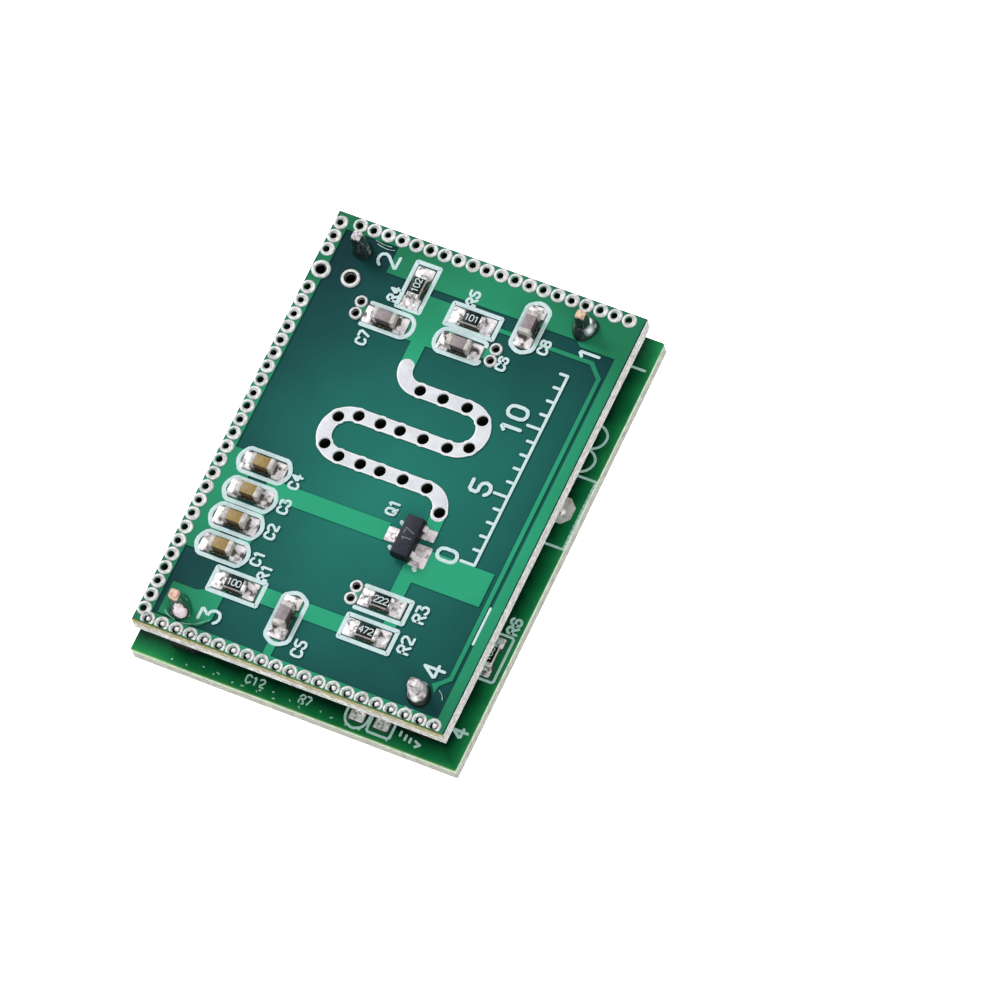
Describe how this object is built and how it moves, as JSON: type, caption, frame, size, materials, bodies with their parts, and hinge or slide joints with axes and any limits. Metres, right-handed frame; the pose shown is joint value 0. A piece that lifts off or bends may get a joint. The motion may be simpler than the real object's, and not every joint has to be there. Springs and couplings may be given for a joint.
{
  "type": "microwave radar sensor module",
  "caption": "Motion sensor module: an antenna board with a serpentine aerial and plated holes round its edge, held on pins above a control board with a plug header underneath.",
  "frame": {"origin": "on the control board's underside, straight below the middle of the antenna board", "axes": "+Z out of the antenna side, +Y along the long side of the boards towards the end that has pins 1 and 2, +X along the short side towards the header's end"},
  "size_m": [0.0229, 0.0317, 0.0123],
  "materials": {
    "antenna_laminate": "glass-epoxy laminate under glossy dark green solder mask, with pale fibrous edges",
    "control_laminate": "glass-epoxy laminate under glossy saturated green solder mask, with smooth beige edges",
    "masked_copper": "copper under green solder mask, lighter green than the bare laminate round it",
    "tinned_copper": "tin levelled by hot air, bright and slightly uneven",
    "solder": "smooth solder with a film of flux",
    "pin_metal": "plated square wire with cut ends",
    "tan_ceramic": "fired tan ceramic with tinned ends",
    "mauve_ceramic": "fired grey-mauve ceramic with tinned ends",
    "resistor_body": "black glaze on white ceramic, with tinned ends and a plain printed number",
    "moulded_package": "black moulding compound with a fine satin grain and tinned leads",
    "spacer_plastic": "black moulded plastic",
    "header_nylon": "natural white nylon"
  },
  "bodies": {
    "root": {"antenna_board": "antenna_laminate", "control_board": "control_laminate", "ground_plane": "masked_copper", "collector_track": "masked_copper", "base_track": "masked_copper", "output_track": "masked_copper", "supply_track": "masked_copper", "feed_track": "masked_copper", "antenna_track": "tinned_copper", "header_pad_1": "tinned_copper", "header_pad_2": "tinned_copper", "header_pad_3": "tinned_copper", "header_pad_4": "tinned_copper", "solder_1": "solder", "solder_2": "solder", "solder_3": "solder", "solder_4": "solder", "lower_solder_1": "solder", "lower_solder_2": "solder", "lower_solder_3": "solder", "lower_solder_4": "solder", "pin_1": "pin_metal", "pin_2": "pin_metal", "pin_3": "pin_metal", "pin_4": "pin_metal", "header_contact_1": "pin_metal", "header_contact_2": "pin_metal", "header_contact_3": "pin_metal", "capacitor_1": "tan_ceramic", "capacitor_2": "tan_ceramic", "capacitor_3": "tan_ceramic", "capacitor_4": "tan_ceramic", "capacitor_5": "mauve_ceramic", "capacitor_6": "mauve_ceramic", "capacitor_7": "mauve_ceramic", "capacitor_8": "mauve_ceramic", "capacitor_9": "mauve_ceramic", "capacitor_10": "mauve_ceramic", "capacitor_11": "mauve_ceramic", "capacitor_12": "mauve_ceramic", "resistor_1": "resistor_body", "resistor_2": "resistor_body", "resistor_3": "resistor_body", "resistor_4": "resistor_body", "resistor_5": "resistor_body", "resistor_6": "resistor_body", "resistor_7": "resistor_body", "resistor_8": "resistor_body", "resistor_9": "resistor_body", "transistor": "moulded_package", "controller_chip": "moulded_package", "voltage_regulator": "moulded_package", "spacer_1": "spacer_plastic", "spacer_2": "spacer_plastic", "spacer_3": "spacer_plastic", "spacer_4": "spacer_plastic", "header_housing": "header_nylon"}
  },
  "joints": []
}
